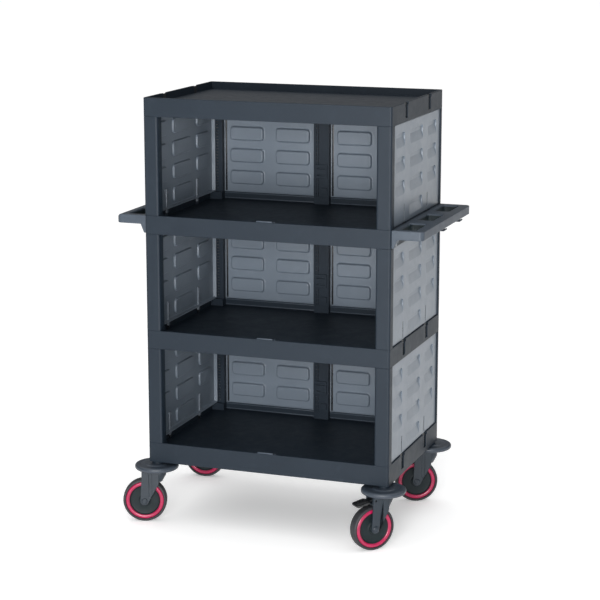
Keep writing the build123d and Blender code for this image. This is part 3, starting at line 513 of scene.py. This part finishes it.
highlightBars, shadeBars = [], []  # painted highlight: a pale bar down both edges of each back panel; painted shade: a black bar inside it for the gap's shadow
look = backPanelLook
for tier in tierNames:
    for sideName in sideNames:
        low, high = (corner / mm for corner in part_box(f"back_panel_{sideName}_{tier}"))
        for edge, into in ((low.x, 1), (high.x, -1)):
            for bars, start, width, rise in ((highlightBars, 0, look["highlightBarWidth"], look["highlightBarRise"]),
                                             (shadeBars, look["highlightBarWidth"], look["shadeBarWidth"], look["shadeBarRise"])):
                ends = sorted((edge + into * start, edge + into * (start + width)))
                bars.append(roundedBar(Vector((ends[0], high.y - rise, low.z + look["barGap"])),
                                       Vector((ends[1], high.y - look["barSink"], high.z - look["barGap"])),
                                       look["barRound"]))
# pale bars are painted highlight, black bars painted shade
addPiece("back_panel_painted_highlights", joined("edge_highlight_bars", highlightBars), clipAcetal, "cart", "panel")
addPiece("back_panel_painted_shade", joined("edge_shade_bars", shadeBars), pedalNylon, "cart", "panel")
print("panels pressed:", 2 * len(tierNames) * len(sideNames))


# Racks in the rear and centre posts

rackTree, given = newTree("rackTeeth", {
    "Tooth size": "NodeSocketVector", "Teeth": "NodeSocketInt", "Tooth pitch": "NodeSocketFloat",
    "Material": "NodeSocketMaterial"})
tooth = addNode(rackTree, "GeometryNodeMeshCube", {}, {"Size": given["Tooth size"]})
climb = addNode(rackTree, "ShaderNodeCombineXYZ", {}, {"Z": given["Tooth pitch"]})
ladder = addNode(rackTree, "GeometryNodeMeshLine", {}, {"Count": given["Teeth"], "Offset": climb.outputs[0]})
rack = addNode(rackTree, "GeometryNodeInstanceOnPoints", {},
               {"Points": ladder.outputs[0], "Instance": tooth.outputs[0]})
racks = addNode(rackTree, "GeometryNodeInstanceOnPoints", {},
                {"Points": given["Geometry"], "Instance": rack.outputs[0]})
solid = addNode(rackTree, "GeometryNodeRealizeInstances", {}, {"Geometry": racks.outputs[0]})
solid = addNode(rackTree, "GeometryNodeSetMaterial", {}, {"Geometry": solid.outputs[0], "Material": given["Material"]})
addNode(rackTree, "NodeGroupOutput", {}, {0: solid.outputs[0]})

rackLook = {"rearGroove": 16.5, "rearTooth": (8.0, 2.0, 2.0), "rearPitch": 9.0, "rearTeeth": 29,
            "centreGrooves": (7.5, 14.5), "centreTooth": (3.0, 2.0, 1.6), "centrePitch": 12.0, "centreTeeth": 22,
            "foot": 10.0, "sink": 2.0}
rearFeet, centreFeet = [], []
for tier in tierNames:
    for sideName, side in sideNames.items():
        low, high = (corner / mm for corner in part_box(f"rear_post_{sideName}_{tier}"))
        grooveX = low.x + rackLook["rearGroove"] if side > 0 else high.x - rackLook["rearGroove"]
        rearFeet.append((grooveX, low.y + rackLook["sink"], low.z + rackLook["foot"]))
    low, high = (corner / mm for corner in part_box(f"centre_post_{tier}"))
    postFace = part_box(f"rear_post_right_{tier}")[0].y / mm
    centreFeet += [(low.x + groove, postFace + rackLook["sink"], low.z + rackLook["foot"])
                   for groove in rackLook["centreGrooves"]]
rearTeeth = grown("rearTeeth", rackTree, rearFeet, {
    "Tooth size": [size * mm for size in rackLook["rearTooth"]], "Teeth": rackLook["rearTeeth"],
    "Tooth pitch": rackLook["rearPitch"] * mm, "Material": slatePlastic})
centreTeeth = grown("centreTeeth", rackTree, centreFeet, {
    "Tooth size": [size * mm for size in rackLook["centreTooth"]], "Teeth": rackLook["centreTeeth"],
    "Tooth pitch": rackLook["centrePitch"] * mm, "Material": slatePlastic})
addPiece("post_racks", joined("post_racks", (rearTeeth, centreTeeth)), pedalNylon, "cart", "post")
print("racks cut:", len(rearFeet) + len(centreFeet))


# Ledges along the rear rims and strips over the door catches, in the lighter slate: painted highlight lines

ledgeLook = {"blockX": 44.0, "blockMiddle": 46.0, "wall": 7.0, "reach": 2.4, "levels": ((-19.5, -16.5), (-4.5, -1.6)),
             "round": 0.9, "endGap": 0.5, "sink": 0.6}
catchLook = {"half": 26.0, "notch": 8.0, "notchEnds": (0.8, 0.2), "front": 1.2, "depth": 4.6, "height": 3.4,
             "round": 0.8, "spill": 0.2, "sink": 0.6}
ledgeBars, catchBars = [], []
deckLow, deckHigh = (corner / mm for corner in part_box("top_tray"))
for tier in tierNames:
    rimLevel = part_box(f"front_post_left_{tier}")[0].z / mm
    wallFace = deckHigh.y - ledgeLook["wall"]
    for side in (-1, 1):
        ends = sorted((side * ledgeLook["blockMiddle"] / 2, side * (deckHigh.x - ledgeLook["blockX"])))
        for foot, head in ledgeLook["levels"]:
            start = Vector((ends[0] + ledgeLook["endGap"], wallFace - ledgeLook["reach"], rimLevel + foot))
            end = Vector((ends[1] - ledgeLook["endGap"], wallFace + ledgeLook["sink"], rimLevel + head))
            ledgeBars.append(roundedBar(start, end, ledgeLook["round"]))
    look = catchLook
    catchFront = deckLow.y + look["front"]
    tip = look["half"] + look["spill"]
    notchStart, notchEnd = (look["half"] - share * look["notch"] for share in look["notchEnds"])
    for start, end in ((-tip, notchStart), (notchEnd, tip)):
        catchBars.append(roundedBar(Vector((start, catchFront, rimLevel - look["sink"])),
                                    Vector((end, catchFront + look["depth"], rimLevel + look["height"])), look["round"]))
# pale ledges and catch strips: painted highlight lines
addPiece("rear_rim_ledges_painted_highlight", joined("ledges", ledgeBars), litSlatePlastic, "cart", "deck")
addPiece("door_catch_strips_painted_highlight", joined("catches", catchBars), litSlatePlastic, "cart", "clip")
print("ledges and catches laid:", len(ledgeBars) + len(catchBars))


# Clips and handles

clipLook = {"round": 1.7, "slotShadeOuter": 4.4, "slotShadeInner": 6.4, "slotShadeHalf": 11.4, "slotShadeDrop": 44.0, "slotShadeRound": 0.5,
            "rimGap": 0.4, "trayGap": 1.5, "slotPlace": 110.0, "slitShadeOuter": 0.8, "slitShadeInner": 1.7, "slitShadeHalf": 3.8,
            "slitShadeRound": 0.3}
handleLook = {"round": 1.8, "openings": (-162.67, 0.0, 162.67), "start": 15.0, "width": 46.0, "length": 110.67,
              "corner": 9.0, "topDrop": 1.0, "pocketShadeDrop": 5.0, "pocketShadeFoot": 24.6, "pocketShadeGap": 0.05, "pocketShadeSheet": 0.4}
look = clipLook
addPiece("rounded_panel_clips", softened("panel_clips", look["round"], 4), clipAcetal, "cart", "clip", "panel_clips")
slotShadeFillers = []
slotShadeTops = [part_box(f"front_post_left_{tier}")[0].z / mm - look["rimGap"] for tier in tierNames]
for slotShadeTop in slotShadeTops + [deckHigh.z - look["trayGap"]]:  # painted shade: a black filler in every T-slot, the top tray's too, so the slots read dark
    for side in (-1, 1):
        reach = sorted((side * (deckHigh.x - look["slotShadeOuter"]), side * (deckHigh.x - look["slotShadeInner"])))
        for place in (-look["slotPlace"], look["slotPlace"]):
            slotShadeFillers.append(roundedBar(Vector((reach[0], place - look["slotShadeHalf"], slotShadeTop - look["slotShadeDrop"])),
                                       Vector((reach[1], place + look["slotShadeHalf"], slotShadeTop)), look["slotShadeRound"]))
for tier in tierNames:
    for sideName, side in sideNames.items():
        low, high = (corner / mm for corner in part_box(f"side_panel_{sideName}_{tier}"))
        outer = high.x if side > 0 else low.x
        reach = sorted((outer - side * look["slitShadeOuter"], outer - side * look["slitShadeInner"]))
        foot = low.z + sidePanelLook["slitFoot"]
        head = foot + sidePanelLook["slitHeight"]
        for place in sidePanelLook["slits"]:  # painted shade: a black back behind every slit
            slotShadeFillers.append(roundedBar(Vector((reach[0], place - look["slitShadeHalf"], foot)),
                                       Vector((reach[1], place + look["slitShadeHalf"], head)), look["slitShadeRound"]))
addPiece("slot_and_slit_painted_shade", joined("slot_shades", slotShadeFillers), pedalNylon, "cart", "clip")
for sideName in sideNames:
    nodeName = f"{sideName}_handle"
    # the grips take the lighter slate, which is painted light
    grip = softened(nodeName, handleLook["round"], 3, 38)
    addPiece(f"rounded_{nodeName}", grip, litSlatePlastic, "cart", "handle", nodeName)
pocketShades = []  # painted shade: dark sheets inside the finger openings, below their rounded edge, so the openings read dark
look = handleLook
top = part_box("front_post_left_upper")[0].z / mm - look["topDrop"]
pocketShadeTop, pocketShadeFoot = top - look["pocketShadeDrop"], top - look["pocketShadeFoot"]
for side in sideNames.values():
    middle = side * (deckHigh.x + look["start"] + look["width"] / 2)
    for place in look["openings"]:
        bm = bmesh.new()
        rings = []
        for inset, level in ((look["pocketShadeGap"], pocketShadeFoot), (look["pocketShadeGap"], pocketShadeTop),
                             (look["pocketShadeSheet"], pocketShadeTop), (look["pocketShadeSheet"], pocketShadeFoot)):
            loop = roundedLoop(look["width"] - 2 * inset, look["length"] - 2 * inset, look["corner"] - inset, 6)
            rings.append([Vector((middle + across, place + along, level)) * mm for across, along in loop])
        loft(bm, rings, True)
        bmesh.ops.recalc_face_normals(bm, faces=bm.faces)
        pocketShades.append(meshFrom(bm, "pocketShadeSheet", 40))
addPiece("finger_opening_painted_shade", joined("pocketShades", pocketShades), hubPlastic, "cart", "handle")
print("clips and handles rounded")


# Casters

tyreLook = {"radius": 62.5, "halfWidth": 15.0, "bore": 55.0, "lip": 0.8, "shoulder": 5.0, "shoulderIn": 5.4,
            "crown": 0.2, "crownHalf": 5.0}
forkLook = {"round": 0.7}
wheelSteps = 96  # facets round a wheel
ringLook = {"inner": 43.6, "outer": 54.3, "seat": 11.6, "sink": 0.4, "crest": 14.8}
hubLook = {"bore": 5.1, "boss": 14.0, "bossFace": 16.4, "bossRound": 1.5, "web": 8.0, "rim": 54.9, "rimFace": 12.0,
           "dish": 42.6}
bumperLook = {"round": 6.0, "grooveIn": 28.0, "grooveOut": 50.0, "grooveDepth": 2.0}
axleLook = {"radius": 5.0, "steps": 32, "cap": 9.0, "forkHalf": 23.0, "capHeight": 3.0, "capSteps": 40}


def arc(middleR, middleA, radius, start, end, steps):
    turns = [math.radians(start + (end - start) * step / steps) for step in range(steps + 1)]
    return [(middleR + radius * math.cos(turn), middleA + radius * math.sin(turn)) for turn in turns]


def casterMatrix(caster):
    swivel = Vector(joints[f"swivel_turn_{caster}"]["pos_m"])
    wheel = Vector(joints[f"wheel_roll_{caster}"]["pos_m"])
    forward = Vector((swivel.x - wheel.x, swivel.y - wheel.y, 0)).normalized()
    up = Vector((0, 0, 1))
    across = up.cross(forward)
    matrix = Matrix((forward, across, up)).transposed().to_4x4()
    matrix.translation = wheel
    return matrix


look = tyreLook
shoulderR, shoulderA = look["radius"] - look["shoulderIn"], look["halfWidth"] - look["shoulder"]
tyreProfile = [(look["bore"], -look["halfWidth"] + look["lip"]), (look["bore"] + look["lip"], -look["halfWidth"])]
tyreProfile += arc(shoulderR, -shoulderA, look["shoulder"], -90, -15, 6)
tyreProfile += [(look["radius"] - look["crown"], -look["crownHalf"]), (look["radius"], 0),
                (look["radius"] - look["crown"], look["crownHalf"])]
tyreProfile += arc(shoulderR, shoulderA, look["shoulder"], 15, 90, 6)
tyreProfile += [(look["bore"] + look["lip"], look["halfWidth"]), (look["bore"], look["halfWidth"] - look["lip"])]
look = ringLook
ringMiddle, ringHalf = (look["inner"] + look["outer"]) / 2, (look["outer"] - look["inner"]) / 2
ringProfile = [(look["inner"], look["seat"] - look["sink"])]
for turn in (math.radians(15 * step) for step in range(13)):  # half an ellipse
    ringProfile.append((ringMiddle - ringHalf * math.cos(turn),
                        look["seat"] + (look["crest"] - look["seat"]) * math.sin(turn)))
ringProfile += [(look["outer"], look["seat"] - look["sink"])]
look = hubLook
bossRound = look["bossRound"]
hubHalf = [(look["bore"], look["bossFace"])]
hubHalf += arc(look["boss"] - bossRound, look["bossFace"] - bossRound, bossRound, 90, 0, 4)
hubHalf += [(look["boss"] + out, look["web"] + up) for out, up in ((1, 2.2), (3.5, 0.4), (6, 0))]
hubHalf += [(look["dish"] - into, look["web"] + up) for into, up in ((6, 0), (2.2, 0.8), (0.8, 2.4))]
hubHalf += [(look["dish"] - 0.2, look["rimFace"] - 0.8), (look["dish"] + 0.6, look["rimFace"]),
            (look["rim"], look["rimFace"])]
hubProfile = hubHalf + [(radius, -along) for radius, along in reversed(hubHalf)]
look = axleLook
forkHalf, capTop = look["forkHalf"], look["forkHalf"] + look["capHeight"]
pinProfile = [(0, -forkHalf), (look["radius"], -forkHalf), (look["radius"], forkHalf), (0, forkHalf)]
capProfile = [(0, forkHalf), (look["cap"], forkHalf)]
capProfile += [(look["cap"] - into, capTop - down)
               for into, down in ((0, 1.6), (0.8, 0.6), (2.4, 0.1), (3.4, 0.7), (4.4, 0))]
capProfile += [(0, capTop)]
look = bumperLook
discLow, discHigh = (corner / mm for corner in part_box("corner_bumpers"))
discRadius = discHigh.x - Vector(joints["swivel_turn_front_right"]["pos_m"]).x / mm
discTop = discHigh.z - discLow.z
bumperProfile = [(0, 0), (discRadius - look["round"], 0)]
bumperProfile += arc(discRadius - look["round"], look["round"], look["round"], -90, 0, 6)
bumperProfile += arc(discRadius - look["round"], discTop - look["round"], look["round"], 0, 90, 8)
grooveWall = ((0, 0), (1.5, 0.6), (4, 1))  # distance in from the groove's edge, and share of its depth there
bumperProfile += [(look["grooveOut"] - into, discTop - share * look["grooveDepth"]) for into, share in grooveWall]
bumperProfile += [(look["grooveIn"] + into, discTop - share * look["grooveDepth"])
                  for into, share in reversed(grooveWall)]
bumperProfile += [(0, discTop)]

bumperMeshes = []
for caster in casterNames:
    place = casterMatrix(caster)
    wheelBody, forkBody = f"wheel_{caster}", f"swivel_{caster}"
    addPiece(f"turned_tyre_{caster}", turned("tyre", tyreProfile, place, wheelSteps), tyreRubber, wheelBody, "tyre",
             f"tyre_{caster}")
    rings = [turned("ring", [(radius, face * along) for radius, along in ringProfile], place, wheelSteps)
             for face in (-1, 1)]
    addPiece(f"cast_rings_{caster}", joined("rings", rings), crimsonRing, wheelBody, "ring", f"wheel_rings_{caster}")
    addPiece(f"dished_hub_{caster}", turned("hub", hubProfile, place, wheelSteps), hubPlastic, wheelBody, "hub",
             f"wheel_hub_{caster}")
    pin = turned("axle", pinProfile, place, axleLook["steps"], False)
    addPiece(f"turned_axle_{caster}", pin, zincSteel, forkBody, "steel", f"axle_{caster}")
    caps = [turned("cap", [(radius, face * along) for radius, along in capProfile], place, axleLook["capSteps"], False)
            for face in (-1, 1)]
    addPiece(f"axle_caps_{caster}", joined("caps", caps), forkNylon, forkBody, "fork")
    addPiece(f"rounded_fork_{caster}", softened(f"fork_{caster}", forkLook["round"], 2), forkNylon, forkBody, "fork",
             f"fork_{caster}")
    swivel = Vector(joints[f"swivel_turn_{caster}"]["pos_m"]) / mm
    disc = Vector((swivel.x, math.copysign(discHigh.y - discRadius, swivel.y), discLow.z))
    upright = Matrix.Translation(disc * mm) @ Matrix.Rotation(math.radians(90), 4, "X")
    bumperMeshes.append(turned("bumper", bumperProfile, upright, wheelSteps, False))
# the bumpers' paler slate is painted light
addPiece("domed_corner_bumpers", joined("bumpers", bumperMeshes), litBumperVinyl, "cart", "bumper", "corner_bumpers")

ribTree, given = newTree("treadRibs", {
    "Rib length": "NodeSocketFloat", "Rib radius": "NodeSocketFloat", "Ribs": "NodeSocketInt",
    "Rib step": "NodeSocketVector", "Rib turn": "NodeSocketVector", "Material": "NodeSocketMaterial"})
rib = addNode(ribTree, "GeometryNodeMeshCylinder", {"Vertices": 10, "Side Segments": 1},
              {"Radius": given["Rib radius"], "Depth": given["Rib length"]})
row = addNode(ribTree, "GeometryNodeMeshLine", {}, {"Count": given["Ribs"], "Offset": given["Rib step"]})
ribs = addNode(ribTree, "GeometryNodeInstanceOnPoints", {}, {"Points": row.outputs[0], "Instance": rib.outputs["Mesh"],
                                                             "Rotation": given["Rib turn"]})
tread = addNode(ribTree, "GeometryNodeInstanceOnPoints", {}, {"Points": given["Geometry"], "Instance": ribs.outputs[0]})
solid = addNode(ribTree, "GeometryNodeRealizeInstances", {}, {"Geometry": tread.outputs[0]})
solid = addNode(ribTree, "GeometryNodeSetMaterial", {}, {"Geometry": solid.outputs[0], "Material": given["Material"]})
addNode(ribTree, "NodeGroupOutput", {}, {0: solid.outputs[0]})

pedalLook = {"round": 1.6, "ribLength": 28.0, "ribRadius": 1.2, "ribs": 7, "ribPitch": 5.0, "ribStart": 20.0,
             "plateTop": 3.0, "tilt": 12.0}
look = pedalLook
for caster in brakedCasters:
    pivot = Vector(joints[f"brake_press_{caster}"]["pos_m"])
    forward = casterMatrix(caster).to_3x3().col[0]
    tilt = math.radians(look["tilt"])
    back = -forward * math.cos(tilt) - Vector((0, 0, math.sin(tilt)))
    above = Vector((0, 0, math.cos(tilt))) - forward * math.sin(tilt)
    start = pivot / mm + back * look["ribStart"] + above * look["plateTop"]
    ribs = grown("treadRibs", ribTree, [start], {
        "Rib length": look["ribLength"] * mm, "Rib radius": look["ribRadius"] * mm, "Ribs": look["ribs"],
        "Rib step": list(back * look["ribPitch"] * mm),
        "Rib turn": [math.radians(90), 0.0, math.atan2(forward.y, forward.x)], "Material": pedalNylon})
    ribs.shade_smooth()
    plate = softened(f"brake_pedal_{caster}", look["round"], 3)
    addPiece(f"ribbed_pedal_{caster}", joined("pedal", (plate, ribs)), pedalNylon, f"pedal_{caster}", "pedal",
             f"brake_pedal_{caster}")
print("casters turned:", len(casterNames))


# Floor, light and camera

floorLook = {"reach": 400.0, "colour": "#ffffff", "gloss": 0.9, "shine": 0.1, "glow": 0.26}  # paper on a lit table
floorMaterial = bpy.data.materials.new("studio_paper_white")
floorMaterial.use_nodes = True
paper = floorMaterial.node_tree.nodes["Principled BSDF"]
paper.inputs["Base Color"].default_value = linearColour(floorLook["colour"])
paper.inputs["Roughness"].default_value = floorLook["gloss"]
paper.inputs["Specular IOR Level"].default_value = floorLook["shine"]
paper.inputs["Emission Color"].default_value = (1, 1, 1, 1)
paper.inputs["Emission Strength"].default_value = floorLook["glow"]
floorMesh = bpy.data.meshes.new("studio_floor")
reach = floorLook["reach"]
floorMesh.from_pydata([(-reach, -reach, 0), (reach, -reach, 0), (reach, reach, 0), (-reach, reach, 0)], [],
                      [(0, 1, 2, 3)])
floorMesh.materials.append(floorMaterial)
studioFloor = bpy.data.objects.new("studio_floor", floorMesh)
bpy.context.scene.collection.objects.link(studioFloor)

lightLook = {"world": 0.14, "sunPower": 2.0, "sunSpread": 105.0, "sunPlace": (0, 0, 4), "sunAim": (0, 0, 0),
             "keyPlace": (1.05, -4.7, 1.25), "keyAim": (0, 0, 0.6), "keySize": 2.2, "keyPower": 245.0,
             "rimPlace": (-0.7, 2.7, 2.5), "rimAim": (0, 0, 0.9), "rimSize": 2.0, "rimPower": 2.5}
world = bpy.data.worlds.new("studio")
bpy.context.scene.world = world
world.use_nodes = True
backdrop = world.node_tree.nodes["Background"]
backdrop.inputs["Color"].default_value = (1, 1, 1, 1)
backdrop.inputs["Strength"].default_value = lightLook["world"]
ceiling = bpy.data.lights.new("ceiling", "SUN")  # a wide soft ceiling that keeps the floor white
ceiling.energy = lightLook["sunPower"]
ceiling.angle = math.radians(lightLook["sunSpread"])
key = bpy.data.lights.new("key", "AREA")  # softbox low beside the camera
key.energy = lightLook["keyPower"]
key.size = lightLook["keySize"]
rim = bpy.data.lights.new("rim", "AREA")  # faint softbox behind, for what faces up and back
rim.energy = lightLook["rimPower"]
rim.size = lightLook["rimSize"]
for lamp, place, aim in ((ceiling, lightLook["sunPlace"], lightLook["sunAim"]),
                         (key, lightLook["keyPlace"], lightLook["keyAim"]),
                         (rim, lightLook["rimPlace"], lightLook["rimAim"])):
    holder = bpy.data.objects.new(lamp.name, lamp)
    holder.location = place
    holder.rotation_euler = (Vector(aim) - Vector(place)).to_track_quat("-Z", "Y").to_euler()
    bpy.context.scene.collection.objects.link(holder)

cameraLook = {"place": (1.8031, -4.9554, 1.7548), "yaw": 19.867, "pitch": 12.106, "lens": 113.83, "sensor": 36}
lens = bpy.data.cameras.new("photo_view")
lens.lens = cameraLook["lens"]
lens.sensor_width = cameraLook["sensor"]
viewer = bpy.data.objects.new("photo_view", lens)
viewer.location = cameraLook["place"]
viewer.rotation_euler = (math.radians(90 - cameraLook["pitch"]), 0, math.radians(cameraLook["yaw"]))
bpy.context.scene.collection.objects.link(viewer)
bpy.context.scene.camera = viewer
bpy.context.scene.view_settings.view_transform = "Standard"
print("stage, lights and camera set")
